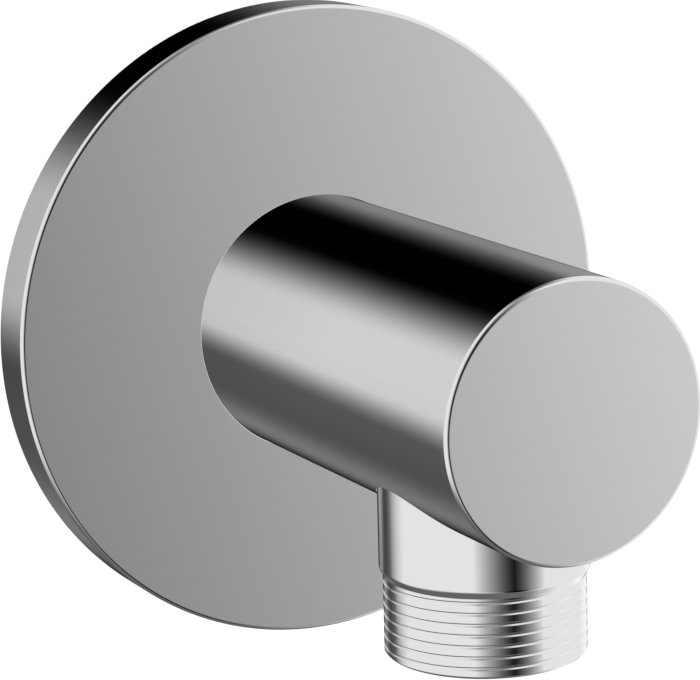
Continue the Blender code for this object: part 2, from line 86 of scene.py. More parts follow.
# Corners (radius, height, bend) run down the outer side and back up the inner one. They become
# stretches, each with its ends and the outward way there; a bend is a true round corner.
def makeOutline(corners, closed=True):
    spots = [np.array(corner[:2], float) for corner in corners]
    bends = [corner[2] if len(corner) > 2 else 0.0 for corner in corners]
    count = len(spots)
    ways = []
    for number in range(count if closed else count - 1):
        run = spots[(number + 1) % count] - spots[number]
        ways.append(run / np.linalg.norm(run))
    rounds = []
    for number in range(count):
        if not closed and number in (0, count - 1) or bends[number] == 0:
            rounds.append([(spots[number], None)])
            continue
        before, after = ways[number - 1], ways[number]
        turn = math.atan2(before[0] * after[1] - before[1] * after[0], before @ after)
        side = 1.0 if turn < 0 else -1.0
        outward = np.array([-before[1], before[0]])
        first = spots[number] - before * bends[number] * math.tan(abs(turn) / 2)
        centre = first - side * bends[number] * outward
        steps = max(3, math.ceil(abs(math.degrees(turn)) / bendStep))
        corner = []
        for step in range(steps + 1):
            bend = turn * step / steps
            way = np.array([
                outward[0] * math.cos(bend) - outward[1] * math.sin(bend),
                outward[0] * math.sin(bend) + outward[1] * math.cos(bend),
            ])
            corner.append((centre + side * bends[number] * way, way))
        rounds.append(corner)
    stretches = []
    for number, corner in enumerate(rounds):
        for one, two in zip(corner, corner[1:]):
            stretches.append({"ends": (one[0], two[0]), "ways": (one[1], two[1]), "leg": None})
        if closed or number < count - 1:
            way = np.array([-ways[number][1], ways[number][0]])
            ends = (corner[-1][0], rounds[(number + 1) % count][0][0])
            stretches.append({"ends": ends, "ways": (way, way), "leg": number})
    return stretches


# Corners of a square groove in a shaft or a bore, from its upper side to its lower one
def groove(mouth, floor, centre, width, bend=fine):
    top, bottom = centre + width / 2, centre - width / 2
    return [(mouth, top, bend / 2), (floor, top, bend), (floor, bottom, bend), (mouth, bottom, bend / 2)]


# Turns an outline once round its line. The leg after the open corner is left for a thread.
def turnedMesh(name, outline, line, steps, openCorner=None):
    foot, up, across, along = lineFrame(line)
    closed = np.allclose(outline[-1]["ends"][1], outline[0]["ends"][0])
    spots = [stretch["ends"][0] for stretch in outline]
    if not closed:
        spots.append(outline[-1]["ends"][1])
    angles = np.arange(steps) * 2 * math.pi / steps
    spokes = np.cos(angles)[:, None] * across + np.sin(angles)[:, None] * along
    points, rings = [], []
    for radius, height in spots:
        middle = foot + up * height
        if radius < 1e-6:
            rings.append([len(points)] * steps)
            points.append(middle * mm)
            continue
        rings.append(list(range(len(points), len(points) + steps)))
        points.extend((middle + spokes * radius) * mm)
    faces = []
    for number, stretch in enumerate(outline):
        if openCorner is not None and stretch["leg"] == openCorner:
            continue
        upper, lower = rings[number], rings[(number + 1) % len(rings)]
        for step in range(steps):
            after = (step + 1) % steps
            face = (upper[step], lower[step], lower[after], upper[after])
            if upper[step] == upper[after]:
                face = face[:3]
            elif lower[step] == lower[after]:
                face = (face[0], face[1], face[3])
            faces.append(face)
    mesh = bpy.data.meshes.new(name)
    mesh.from_pydata(points, [], faces)
    mesh.validate()
    return mesh


def readAll(items, name, width=1, kind=np.float32):
    values = np.zeros(len(items) * width, kind)
    items.foreach_get(name, values)
    return values.reshape(-1, width) if width > 1 else values


# Gives each corner the direction of the true turned surface, so that long facets mirror as round
# ones do. A cut in the piece passes its cutter's outline with side -1.
def dressNormals(mesh, turnings, near=0.004, alike=0.96):
    mesh.shade_smooth()
    mesh.set_sharp_from_angle(angle=sharpAngle)
    corners = readAll(mesh.corner_normals, "vector", 3).astype(float)
    points = readAll(mesh.vertices, "co", 3).astype(float) / mm
    cornerPoint = readAll(mesh.loops, "vertex_index", kind=np.int32)
    sizes = readAll(mesh.polygons, "loop_total", kind=np.int32)
    facing = readAll(mesh.polygons, "normal", 3)
    cornerFace = np.repeat(np.arange(len(sizes)), sizes)
    middles = np.zeros((len(sizes), 3))
    np.add.at(middles, cornerFace, points[cornerPoint])
    middles /= sizes[:, None]
    best = np.full(len(sizes), near)
    for outline, line, side in turnings:
        foot, up = lineFrame(line)[:2]

        def reading(places):
            height = (places - foot) @ up
            flat = places - foot - height[:, None] * up
            radius = np.linalg.norm(flat, axis=1)
            return radius, height, flat / np.maximum(radius, 1e-9)[:, None]

        radius, height, spoke = reading(middles)
        tipRadius, tipHeight, tipSpoke = reading(points)
        outward = np.einsum("ij,ij->i", facing, spoke)
        upward = facing @ up
        for stretch in outline:
            (start, end), (one, two) = stretch["ends"], stretch["ways"]
            run = end - start
            length = run @ run

            def share(atRadius, atHeight):
                value = ((atRadius - start[0]) * run[0] + (atHeight - start[1]) * run[1]) / length
                return np.clip(value, 0.0, 1.0)

            part = share(radius, height)
            off = np.hypot(radius - start[0] - part * run[0], height - start[1] - part * run[1])
            way = one[None, :] + part[:, None] * (two - one)
            match = side * (outward * way[:, 0] + upward * way[:, 1])
            fits = (off < best) & (match > alike)
            best[fits] = off[fits]
            chosen = fits[cornerFace]
            tips = cornerPoint[chosen]
            part = share(tipRadius[tips], tipHeight[tips])[:, None]
            way = one + part * (two - one)
            way /= np.linalg.norm(way, axis=1)[:, None]
            corners[chosen] = side * (way[:, :1] * tipSpoke[tips] + way[:, 1:] * up)
    mesh.normals_split_custom_set(corners.tolist())


def addObject(name, mesh):
    piece = bpy.data.objects.new(name, mesh)
    bpy.context.scene.collection.objects.link(piece)
    return piece


# The object's mesh as its modifiers leave it; the object goes
def settled(piece):
    graph = bpy.context.evaluated_depsgraph_get()
    mesh = bpy.data.meshes.new_from_object(piece.evaluated_get(graph))
    piece.modifiers.clear()
    bpy.data.objects.remove(piece)
    return mesh


# Closes the slivers that a cut or a union leaves
def cleaned(mesh, reach=0.002):
    bm = bmesh.new()
    bm.from_mesh(mesh)
    bmesh.ops.remove_doubles(bm, verts=bm.verts, dist=reach * mm)
    bmesh.ops.dissolve_degenerate(bm, edges=bm.edges, dist=reach * mm / 10)
    bmesh.ops.triangulate(bm, faces=[face for face in bm.faces if len(face.verts) > 4])
    openEdges = sum(not edge.is_manifold for edge in bm.edges)
    if openEdges:
        print("open edges left in", mesh.name, openEdges)
    bm.to_mesh(mesh)
    bm.free()
    return mesh


def cutAway(mesh, cutters, operation="DIFFERENCE"):
    piece = addObject("blank", mesh)
    tools = []
    for cutter in cutters:
        tool = addObject("cutter", cutter)
        tools.append(tool)
        modifier = piece.modifiers.new("cut", "BOOLEAN")
        modifier.operation = operation
        modifier.object = tool
    result = settled(piece)
    for tool in tools:
        bpy.data.objects.remove(tool)
    return cleaned(result)


def hexPrism(name, acrossFlats, bottom, top, line):
    bm = bmesh.new()
    corner = acrossFlats / math.sqrt(3)
    length = top - bottom
    bmesh.ops.create_cone(bm, cap_ends=True, segments=6, radius1=corner, radius2=corner, depth=length)
    foot, up, across, along = lineFrame(line)
    for vertex in bm.verts:
        x, y, z = vertex.co
        vertex.co = (foot + across * x + along * y + up * (z + (top + bottom) / 2)) * mm
    mesh = bpy.data.meshes.new(name)
    bm.to_mesh(mesh)
    bm.free()
    return mesh


# Node helpers, for the geometry trees, the finishes and the studio. A new node goes to the tree of
# the values that are linked to it.
def addNode(kind, inputs, **settings):
    linked = [value for value in inputs.values() if isinstance(value, bpy.types.NodeSocket)]
    tree = linked[0].id_data
    node = tree.nodes.new(kind)
    for name, value in settings.items():
        setattr(node, name, value)
    for name, value in inputs.items():
        if isinstance(value, bpy.types.NodeSocket):
            tree.links.new(value, node.inputs[name])
        else:
            node.inputs[name].default_value = value
    return node


def calc(operation, *values):
    return addNode("ShaderNodeMath", dict(enumerate(values)), operation=operation).outputs[0]


def clamped(value):
    return addNode("ShaderNodeClamp", {"Value": value}).outputs["Result"]


def splitPlace(place):
    return addNode("ShaderNodeSeparateXYZ", {0: place}).outputs


def joinPlace(x, y, z):
    return addNode("ShaderNodeCombineXYZ", {"X": x, "Y": y, "Z": z}).outputs[0]


# A tree starts from a blank, stands on a line and gives its mesh a material
def newTree(name, numbers, counts):
    tree = bpy.data.node_groups.new(name, "GeometryNodeTree")
    inputs = {"Blank": "Geometry", "Foot": "Vector", "Tilt": "Float", "Material": "Material"}
    inputs.update(dict.fromkeys(numbers, "Float"))
    inputs.update(dict.fromkeys(counts, "Int"))
    for label, kind in inputs.items():
        tree.interface.new_socket(name=label, in_out="INPUT", socket_type="NodeSocket" + kind)
    tree.interface.new_socket(name="Geometry", in_out="OUTPUT", socket_type="NodeSocketGeometry")
    return tree, tree.nodes.new("NodeGroupInput").outputs, tree.nodes.new("NodeGroupOutput").inputs


# A place at a radius and an angle from the line, and at a height along it
def aroundLine(radius, angle, height):
    x = calc("MULTIPLY", radius, calc("COSINE", angle))
    y = calc("MULTIPLY", radius, calc("SINE", angle))
    return joinPlace(x, y, height)


def movePoints(geometry, place):
    return addNode("GeometryNodeSetPosition", {"Geometry": geometry, "Position": place}).outputs[0]


# Realize Instances and Set Material at the end of a tree
def endTree(geometry, given, result):
    real = addNode("GeometryNodeRealizeInstances", {0: geometry}).outputs[0]
    dress = addNode("GeometryNodeSetMaterial", {"Geometry": real, "Material": given["Material"]})
    geometry.id_data.links.new(dress.outputs[0], result["Geometry"])


# Stands a tree's geometry on its line
def standOn(geometry, given):
    turn = joinPlace(given["Tilt"], 0.0, 0.0)
    inputs = {"Geometry": geometry, "Translation": given["Foot"], "Rotation": turn}
    return addNode("GeometryNodeTransform", inputs).outputs[0]


def runTree(tree, mesh, line, values):
    piece = addObject(tree.name, mesh)
    modifier = piece.modifiers.new(tree.name, "NODES")
    modifier.node_group = tree
    values = dict(values)
    values["Foot"] = [part * mm for part in line["foot"]]
    values["Tilt"] = math.radians(line["tilt"])
    for item in tree.interface.items_tree:
        if item.in_out == "INPUT" and item.name in values:
            modifier[item.identifier] = values[item.name]
    return settled(piece)


# A right-handed thread on a band between two heights. The rows of the grid follow the helix, so a
# groove's edges are edges of the mesh; rows past the band are folded onto its ends.
def makeThreadTree():
    tree, given, result = newTree("cutThread", [
        "Crest radius", "Depth", "Pitch", "Mouth", "Root", "Top", "Bottom", "Start",
        "Upper run-out", "Lower run-out", "End radius",
    ], ["Columns", "Rows"])
    pitch = given["Pitch"]
    toBottom = calc("DIVIDE", calc("SUBTRACT", given["Start"], given["Bottom"]), pitch)
    toTop = calc("DIVIDE", calc("SUBTRACT", given["Top"], given["Start"]), pitch)
    below = calc("ADD", calc("CEIL", toBottom), 1.0)
    turns = calc("ADD", below, calc("ADD", calc("CEIL", toTop), 1.0))
    grid = addNode("GeometryNodeMeshGrid", {
        "Size X": 1.0, "Size Y": 1.0, "Vertices X": calc("ADD", given["Columns"], 1.0),
        "Vertices Y": calc("ADD", calc("MULTIPLY", turns, given["Rows"]), 1.0),
    })

    x, y = splitPlace(tree.nodes.new("GeometryNodeInputPosition").outputs[0])[:2]
    share = calc("ADD", x, 0.5)
    level = calc("MULTIPLY", calc("ADD", y, 0.5), turns)
    climb = calc("ADD", calc("SUBTRACT", share, below), level)
    height = calc("MULTIPLY_ADD", climb, pitch, given["Start"])
    height = calc("MINIMUM", calc("MAXIMUM", height, given["Bottom"]), given["Top"])

    turnsUp = calc("DIVIDE", calc("SUBTRACT", height, given["Start"]), pitch)
    wrap = calc("FRACT", calc("ADD", calc("SUBTRACT", turnsUp, share), 0.5))
    away = calc("ABSOLUTE", calc("SUBTRACT", wrap, 0.5))
    flank = calc("SUBTRACT", given["Mouth"], given["Root"])
    inside = calc("SUBTRACT", given["Mouth"], calc("MULTIPLY", away, 2.0))
    cut = clamped(calc("DIVIDE", inside, flank))
    fromTop = calc("SUBTRACT", given["Top"], height)
    fromBottom = calc("SUBTRACT", height, given["Bottom"])
    fadeTop = clamped(calc("DIVIDE", fromTop, given["Upper run-out"]))
    fadeBottom = clamped(calc("DIVIDE", fromBottom, given["Lower run-out"]))
    depth = calc("MULTIPLY", given["Depth"], calc("MULTIPLY", fadeTop, fadeBottom))
    radius = calc("SUBTRACT", given["Crest radius"], calc("MULTIPLY", depth, cut))
    chamfer = calc("ADD", given["End radius"], calc("MINIMUM", fromTop, fromBottom))
    radius = calc("MINIMUM", radius, chamfer)

    angle = calc("MULTIPLY", share, 2 * math.pi)
    wound = movePoints(grid.outputs["Mesh"], aroundLine(radius, angle, height))
    join = addNode("GeometryNodeJoinGeometry", {0: standOn(wound, given)})
    tree.links.new(given["Blank"], join.inputs[0])
    inputs = {"Geometry": join.outputs[0], "Distance": weld * mm}
    merge = addNode("GeometryNodeMergeByDistance", inputs)
    endTree(merge.outputs[0], given, result)
    return tree


threadTree = makeThreadTree()
print("thread tree made")


# Winds a thread on a lathe's open stretch. The lengths are in millimetres.
def windThread(lathe, line, thread, lengths, columns, material):
    values = {name: length * mm for name, length in lengths.items()}
    values.update({
        "Depth": thread["depth"] * mm, "Pitch": thread["pitch"] * mm, "Mouth": thread["mouth"],
        "Root": thread["root"], "Rows": thread["rows"], "Columns": columns, "Material": material,
    })
    return runTree(threadTree, lathe, line, values)


# Finishes. All read Object coordinates in metres, so a pattern keeps its real size.
def newFinish(name, colour, roughness, metallic):
    material = bpy.data.materials.new(name)
    material.use_nodes = True
    tree = material.node_tree
    shader = tree.nodes["Principled BSDF"]
    shader.inputs["Base Color"].default_value = (*colour, 1.0)
    shader.inputs["Roughness"].default_value = roughness
    shader.inputs["Metallic"].default_value = metallic
    coordinates = tree.nodes.new("ShaderNodeTexCoord").outputs["Object"]
    return material, tree, shader, coordinates


def addNoise(vector, size, detail=2.0):
    inputs = {"Vector": vector, "Scale": 1 / (size * mm), "Detail": detail}
    return addNode("ShaderNodeTexNoise", inputs).outputs["Fac"]


# A noise keeps mostly between 0.3 and 0.7
def addRange(value, low, high):
    inputs = {"Value": value, "From Min": 0.3, "From Max": 0.7, "To Min": low, "To Max": high}
    return addNode("ShaderNodeMapRange", inputs).outputs["Result"]


def addBlend(value, one, two):
    inputs = {0: value, 6: (*one, 1.0), 7: (*two, 1.0)}
    return addNode("ShaderNodeMix", inputs, data_type="RGBA").outputs[2]


def addBump(shader, value, depth):
    bump = addNode("ShaderNodeBump", {"Strength": 1.0, "Distance": depth * mm, "Height": value})
    value.id_data.links.new(bump.outputs["Normal"], shader.inputs["Normal"])


# Fine rings left by a turning tool: a pattern that depends on the distance from the piece's line
# and on the height along it, and hardly on the way round
def latheMarks(coordinates, line, size):
    foot = [-part * mm for part in line["foot"]]
    place = addNode("ShaderNodeMapping", {"Vector": coordinates, "Location": foot})
    x, y, z = splitPlace(place.outputs[0])
    side, height = (y, z) if line["tilt"] == 0 else (z, y)
    square = calc("ADD", calc("MULTIPLY", x, x), calc("MULTIPLY", side, side))
    place = joinPlace(calc("SQRT", square), height, 0.0)
    return addNoise(place, size, detail=3.0)


chromeLook = {
    "tone": 0.79, "cloud": 0.006, "cloudSize": 9.0, "roughness": (0.02, 0.045), "grainSize": 0.6,
}


def makeChrome(name):
    look = chromeLook
    tone = look["tone"]
    material, tree, shader, coordinates = newFinish(name, [tone] * 3, look["roughness"][0], 1.0)
    cloud = addNoise(coordinates, look["cloudSize"])
    low, high = [tone - look["cloud"]] * 3, [tone + look["cloud"]] * 3
    tree.links.new(addBlend(cloud, low, high), shader.inputs["Base Color"])
    polish = addNoise(coordinates, look["grainSize"], detail=4.0)
    tree.links.new(addRange(polish, *look["roughness"]), shader.inputs["Roughness"])
    return material


def makeTurnedMetal(name, look, line):
    material, tree, shader, coordinates = newFinish(name, look["colour"], look["roughness"][0], 1.0)
    cloud = addNoise(coordinates, look["cloudSize"], detail=3.0)
    tree.links.new(addBlend(cloud, look["colour"], look["darker"]), shader.inputs["Base Color"])
    marks = latheMarks(coordinates, line, look["markSize"])
    tree.links.new(addRange(marks, *look["roughness"]), shader.inputs["Roughness"])
    addBump(shader, marks, look["markDepth"])
    return material


brassLook = {
    "colour": (0.74, 0.53, 0.25), "darker": (0.62, 0.43, 0.19), "roughness": (0.16, 0.32),
    "cloudSize": 4.0, "markSize": 0.12, "markDepth": 0.002,
}
steelLook = {
    "colour": (0.58, 0.58, 0.59), "darker": (0.48, 0.48, 0.5), "roughness": (0.2, 0.34),
    "cloudSize": 2.0, "markSize": 0.08, "markDepth": 0.001,
}


def makeSoft(name, look):
    material, tree, shader, coordinates = newFinish(name, look["colour"], look["roughness"][0], 0.0)
    cloud = addNoise(coordinates, look["cloudSize"], detail=3.0)
    tree.links.new(addBlend(cloud, look["colour"], look["lighter"]), shader.inputs["Base Color"])
    grain = addNoise(coordinates, look["grainSize"], detail=4.0)
    tree.links.new(addRange(grain, *look["roughness"]), shader.inputs["Roughness"])
    addBump(shader, grain, look["grainDepth"])
    return material


rubberLook = {
    "colour": (0.02, 0.02, 0.02), "lighter": (0.034, 0.033, 0.032), "roughness": (0.48, 0.7),
    "cloudSize": 1.5, "grainSize": 0.12, "grainDepth": 0.006,
}
housingLook = {
    "colour": (0.8, 0.8, 0.78), "lighter": (0.85, 0.85, 0.83), "roughness": (0.34, 0.48),
    "cloudSize": 2.5, "grainSize": 0.15, "grainDepth": 0.003,
}
valveLook = {
    "colour": (0.07, 0.18, 0.5), "lighter": (0.1, 0.23, 0.58), "roughness": (0.34, 0.48),
    "cloudSize": 2.0, "grainSize": 0.15, "grainDepth": 0.003,
}
# The foam's darker tone is painted shade in the hollows of its cells
foamLook = {
    "colour": (0.16, 0.16, 0.16), "darker": (0.07, 0.07, 0.07), "roughness": 0.9, "cellSize": 0.45,
    "cellDepth": 0.08, "cellShadeShare": 0.8, "cloudSize": 3.0, "cloudShare": 0.3,
}


# Closed-cell foam: cut cells with thin walls between them. The colour runs to the darker tone towards each
# cell's middle, where the bump makes a hollow. That is painted shade in the cell hollows, with a random
# cloud of tone besides.
def makeFoam(name):
    look = foamLook
    material, tree, shader, coordinates = newFinish(name, look["colour"], look["roughness"], 0.0)
    inputs = {"Vector": coordinates, "Scale": 1 / (look["cellSize"] * mm)}
    hollow = addNode("ShaderNodeTexVoronoi", inputs).outputs["Distance"]
    cloud = calc("MULTIPLY", addNoise(coordinates, look["cloudSize"]), look["cloudShare"])
    cellShadeAndCloud = calc("MULTIPLY_ADD", hollow, look["cellShadeShare"], cloud)
    # Painted shade: darker in the cell hollows, plus a random cloud of tone
    tree.links.new(addBlend(cellShadeAndCloud, look["darker"], look["colour"]), shader.inputs["Base Color"])
    addBump(shader, hollow, look["cellDepth"])
    return material


chrome = makeChrome("polishedChrome")
brass = makeTurnedMetal("turnedBrass", brassLook, wallLine)
springSteel = makeTurnedMetal("springSteel", steelLook, outletLine)
steel = makeTurnedMetal("plainSteel", steelLook, screwLine)
rubber = makeSoft("blackRubber", rubberLook)
housingPlastic = makeSoft("whiteAcetal", housingLook)
valvePlastic = makeSoft("blueAcetal", valveLook)
foam = makeFoam("greyFoam")
print("finishes made")


# Hands a finished mesh to the frame in place of its CAD node. Polished pieces mirror the studio
# and not each other, as in a retouched product picture.
def addPiece(name, mesh, node, material, body="fitting"):
    mesh.name = name
    mesh.materials.clear()
    mesh.materials.append(material)
    piece = addObject(name, mesh)
    piece.visible_glossy = False
    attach(piece, body)
    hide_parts(node)
    return piece


def addTurned(name, outline, line, steps, node, material, body="fitting"):
    mesh = turnedMesh(name, outline, line, steps)
    dressNormals(mesh, [(outline, line, 1)])
    addPiece(name, mesh, node, material, body)


escutcheonSizes = {
    "frontBend": 0.45, "backBend": 0.2, "plate": 2.4, "rim": 2.2, "holeEdge": 0.06, "clearance": 0.02,
    "collarWall": 2.2, "collarGap": 0.9, "grooveDepth": 0.9, "grooveWidth": 1.6, "innerBend": 0.4,
    "collarBend": 0.15, "steps": 360,
}


def makeEscutcheon():
    sizes = escutcheonSizes
    low, high = boxOf("escutcheon")
    outer, front = high[0], -low[1]
    hole = bodyHigh[0] + sizes["clearance"]
    collar = hole + sizes["collarWall"]
    back = front - sizes["plate"]
    gripCentre = (sizes["collarGap"] + back) / 2
    grip = groove(hole, hole + sizes["grooveDepth"], gripCentre, sizes["grooveWidth"])
    outline = makeOutline([
        (outer, front, sizes["frontBend"]),
        (outer, 0.0, sizes["backBend"]),
        (outer - sizes["rim"], 0.0, sizes["backBend"]),
        (outer - sizes["rim"], back, sizes["innerBend"]),
        (collar, back, sizes["innerBend"]),
        (collar, sizes["collarGap"], sizes["collarBend"]),
        (hole, sizes["collarGap"], sizes["collarBend"]),
        *reversed(grip),
        (hole, front, sizes["holeEdge"]),
    ])
    addTurned("chromeEscutcheon", outline, wallLine, sizes["steps"], "escutcheon", chrome)
    return collar


collarRadius = makeEscutcheon()

bodySizes = {
    "frontBend": 0.45, "rearBend": 0.2, "flangePocket": (12.7, 3.3), "socket": (8.5, 24.3),
    "passage": 5.5, "spigotHole": (9.1, -4.9), "neckHole": (10.85, -8.6),
    "screwHole": 2.65, "holeSteps": 96, "steps": 360,
}


def makeBody():
    sizes = bodySizes
    radius, front, rear = bodyHigh[0], -bodyLow[1], -bodyHigh[1]
    passage = sizes["passage"]
    pocketRadius, pocketDepth = sizes["flangePocket"]
    socketRadius, socketDepth = sizes["socket"]
    outline = makeOutline([
        (0.0, front),
        (radius, front, sizes["frontBend"]),
        (radius, rear, sizes["rearBend"]),
        (pocketRadius, rear, sizes["rearBend"]),
        (pocketRadius, pocketDepth, small),
        (socketRadius, pocketDepth, soft),
        (socketRadius, socketDepth, small),
        (passage, socketDepth, small),
        (passage, outletOffset + passage, soft),
        (0.0, outletOffset + passage),
    ], closed=False)
    below = -radius - overrun
    spigotHole, spigotCeiling = sizes["spigotHole"]
    neckHole, neckCeiling = sizes["neckHole"]
    bore = makeOutline([
        (0.0, 0.0), (passage, 0.0), (passage, spigotCeiling), (spigotHole, spigotCeiling),
        (spigotHole, neckCeiling), (neckHole, neckCeiling), (neckHole, below), (0.0, below),
    ], closed=False)
    hole, inside = sizes["screwHole"], overrun - socketRadius
    screwBore = makeOutline([(0.0, inside), (hole, inside), (hole, below), (0.0, below)], closed=False)
    mesh = cutAway(turnedMesh("bar", outline, wallLine, sizes["steps"]), [
        turnedMesh("outletBore", bore, outletLine, sizes["steps"]),
        turnedMesh("screwBore", screwBore, screwLine, sizes["holeSteps"]),
    ])
    dressNormals(mesh, [(outline, wallLine, 1), (bore, outletLine, -1), (screwBore, screwLine, -1)])
    addPiece("chromeBody", mesh, "elbow_body", chrome)


makeBody()
print("escutcheon and body made")

outletSizes = {
    "spigot": 9.0, "spigotFoot": -8.9, "ringGroove": (7.9, 1.7), "neckBottom": -18.33,
    "neckBend": 0.7, "crest": 10.35, "threadTop": -19.05, "endChamfer": 0.3, "endBend": 0.08,
    "mouth": 5.6, "lip": 2.05, "bore": 6.8, "steps": 360,
    "thread": {"pitch": 1.125, "depth": 0.12, "mouth": 6 / 16, "root": 2 / 16, "rows": 16},
    "runOut": 0.2, "firstGroove": -19.48,  # its height where it faces the camera
    "facing": -119.15,  # degrees round the nipple from its right side
}


def makeOutlet():
    sizes = outletSizes
    top, bottom, neck = nippleHigh[2], nippleLow[2], nippleHigh[0]
    crest, threadTop = sizes["crest"], sizes["threadTop"]
    threadBottom = bottom + sizes["endChamfer"]
    floor, width = sizes["ringGroove"]
    ring = groove(sizes["spigot"], floor, (top + sizes["spigotFoot"]) / 2, width)
    corners = [
        (sizes["spigot"], top, soft),
        *ring,
        (sizes["spigot"], sizes["spigotFoot"]),
        (neck, sizes["spigotFoot"], fine),
        (neck, sizes["neckBottom"], sizes["neckBend"]),
        (crest, threadTop),
        (crest, threadBottom),
        (crest - sizes["endChamfer"], bottom, sizes["endBend"]),
        (sizes["mouth"], bottom, soft),
        (sizes["mouth"], bottom + sizes["lip"]),
        (sizes["bore"], bottom + sizes["lip"], crisp),
        (sizes["bore"], top, small),
    ]
    outline = makeOutline(corners)
    opening = corners.index((crest, threadTop))
    lathe = turnedMesh("outletLathe", outline, outletLine, sizes["steps"], opening)
    thread, runOut = sizes["thread"], sizes["runOut"]
    start = sizes["firstGroove"] - thread["pitch"] * sizes["facing"] / 360
    mesh = windThread(lathe, outletLine, thread, {
        "Crest radius": crest, "End radius": crest, "Top": threadTop, "Bottom": threadBottom,
        "Start": start, "Upper run-out": runOut, "Lower run-out": runOut,
    }, sizes["steps"], chrome)
    dressNormals(mesh, [(outline, outletLine, 1)])
    addPiece("chromeOutlet", mesh, "outlet_nipple", chrome)


makeOutlet()
print("outlet made")


inletSizes = {
    "spigot": 8.4, "reach": 24.0, "noseChamfer": 1.0, "ringDepth": 1.3, "ringWidth": 2.0,
    "rings": (14.3, 19.3), "lock": 9.8, "lockDepth": 1.0, "lockHalf": 1.0, "flange": 12.4,
    "flangeDepth": 3.0, "relief": 1.2, "crest": 10.4775, "bore": 4.9, "steps": 180,
    "keyFlats": 10.0, "keyDepth": 8.0,
    "thread": {"pitch": 1.8143, "depth": 1.162, "mouth": 20 / 24, "root": 4 / 24, "rows": 24},
    "runOut": 0.001, "threadStart": -7.0,
}


def makeInlet():
    sizes = inletSizes
    end, spigot, crest = -boxOf("inlet_nipple")[1][1], sizes["spigot"], sizes["crest"]
    root = crest - sizes["relief"]
    floor = spigot - sizes["ringDepth"]
    rings = [groove(spigot, floor, centre, sizes["ringWidth"]) for centre in reversed(sizes["rings"])]
    lockTop, lockBottom = sizes["lock"] + sizes["lockHalf"], sizes["lock"] - sizes["lockHalf"]
    corners = [
        (spigot - sizes["noseChamfer"], sizes["reach"], crisp),
        (spigot, sizes["reach"] - sizes["noseChamfer"], small),
        *rings[0],
        *rings[1],
        (spigot, lockTop + sizes["lockDepth"]),
        (spigot - sizes["lockDepth"], lockTop, small),
        (spigot - sizes["lockDepth"], lockBottom, small),
        (spigot, lockBottom - sizes["lockDepth"]),
        (spigot, sizes["flangeDepth"], soft),
        (sizes["flange"], sizes["flangeDepth"], middling),
        (sizes["flange"], 0.0, middling),
        (root, 0.0, small),
        (root, -sizes["relief"]),
        (root, end),
        (sizes["bore"], end, small),
        (sizes["bore"], sizes["reach"], small),
    ]
    outline = makeOutline(corners)
    opening = corners.index((root, -sizes["relief"]))
    lathe = turnedMesh("inletLathe", outline, wallLine, sizes["steps"], opening)
    mesh = windThread(lathe, wallLine, sizes["thread"], {
        "Crest radius": crest, "End radius": root, "Top": -sizes["relief"], "Bottom": end,
        "Start": sizes["threadStart"], "Upper run-out": sizes["runOut"],
        "Lower run-out": sizes["runOut"],
    }, sizes["steps"], brass)
    reach = sizes["reach"]
    key = hexPrism("inletKey", sizes["keyFlats"], reach - sizes["keyDepth"], reach + overrun, wallLine)
    mesh = cutAway(mesh, [key])
    dressNormals(mesh, [(outline, wallLine, 1)])
    addPiece("brassInlet", mesh, "inlet_nipple", brass)


makeInlet()

screwSizes = {
    "radius": 2.5, "tip": (0.7, 1.3), "keyFlats": 2.5, "keyDepth": 2.2, "steps": 96,
    "thread": {"pitch": 0.8, "depth": 0.4, "mouth": 14 / 16, "root": 2 / 16, "rows": 16},
    "runOut": 0.001, "threadStart": 2.0, "undercut": 0.05,  # the ends are a little thinner than the root
}


def makeScrew():
    sizes = screwSizes
    line = screwLine
    head, tip = screwLow[2], screwHigh[2]
    tipRadius, tipLength = sizes["tip"]
    radius = sizes["radius"]
    root = radius - sizes["thread"]["depth"] - sizes["undercut"]
    coneEnd = tip - tipLength * (root - tipRadius) / (radius - tipRadius)
    corners = [(0.0, tip), (tipRadius, tip, crisp), (root, coneEnd), (root, head), (0.0, head)]
    outline = makeOutline(corners, closed=False)
    opening = corners.index((root, coneEnd))
    lathe = turnedMesh("screwLathe", outline, line, sizes["steps"], opening)
    mesh = windThread(lathe, line, sizes["thread"], {
        "Crest radius": radius, "End radius": root, "Top": coneEnd, "Bottom": head,
        "Start": head + sizes["threadStart"], "Upper run-out": sizes["runOut"],
        "Lower run-out": sizes["runOut"],
    }, sizes["steps"], steel)
    key = hexPrism("screwKey", sizes["keyFlats"], head - overrun, head + sizes["keyDepth"], line)
    mesh = cutAway(mesh, [key])
    dressNormals(mesh, [(outline, line, 1)])
    addPiece("steelScrew", mesh, "grub_screw", steel)


makeScrew()


# Soft rings: a round section in each groove, with the fine parting line of the mould outside
ringSizes = {"steps": 180, "parting": 0.03, "roundness": 0.98}
rings = {
    "gripRing": ("escutcheon_grip_ring", wallLine),
    "rearRing": ("nipple_o_ring_rear", wallLine),
    "frontRing": ("nipple_o_ring_front", wallLine),
    "outletRing": ("outlet_o_ring", outletLine),
    "cartridgeRing": ("valve_housing_o_ring", outletLine),
}


def makeRing(name, node, line):
    low, high = boxOf(node)
    outer = high[0]
    along = (-high[1], -low[1]) if line is wallLine else (low[2], high[2])
    half = (along[1] - along[0]) / 2
    middle = sum(along) / 2
    inner, parting, bend = outer - 2 * half, ringSizes["parting"], half * ringSizes["roundness"]
    outline = makeOutline([
        (outer, middle + half, bend),
        (outer, middle + parting),
        (outer - parting, middle + parting),
        (outer - parting, middle - parting),
        (outer, middle - parting),
        (outer, middle - half, bend),
        (inner, middle - half, bend),
        (inner, middle + half, bend),
    ])
    addTurned(name, outline, line, ringSizes["steps"], node, rubber)


for name, (node, line) in rings.items():
    makeRing(name, node, line)

gasketSizes = {"bend": 0.5, "collarGap": 0.3, "steps": 180}


